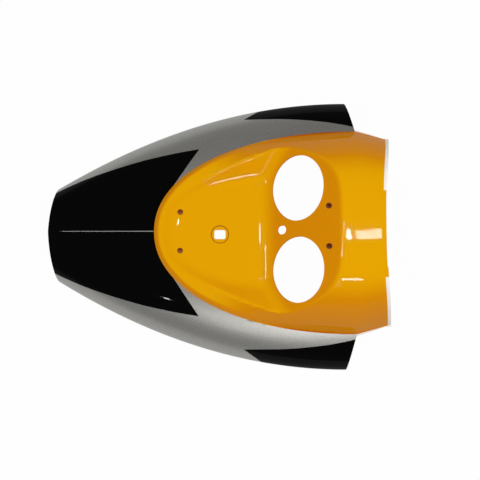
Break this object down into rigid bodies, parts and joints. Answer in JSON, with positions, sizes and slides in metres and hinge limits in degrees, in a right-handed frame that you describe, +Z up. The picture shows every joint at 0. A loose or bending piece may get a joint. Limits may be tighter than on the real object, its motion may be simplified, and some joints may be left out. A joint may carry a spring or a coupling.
{
  "type": "motorcycle headlight cowl",
  "caption": "Painted front cowl shell with a raised, recessed centre, round lamp holes and a hood, resting on its rim with the open side down.",
  "frame": {"origin": "middle of the bounding box, in the plane that the rim rests on", "axes": "+X from the nose to the hood, +Z up out of the outer face, +Y across"},
  "size_m": [0.495, 0.4, 0.15],
  "materials": {
    "painted_shell": "gloss paint in yellow, black and silver over bare moulded plastic"
  },
  "bodies": {
    "root": {"cowl_shell": "painted_shell"}
  },
  "joints": []
}
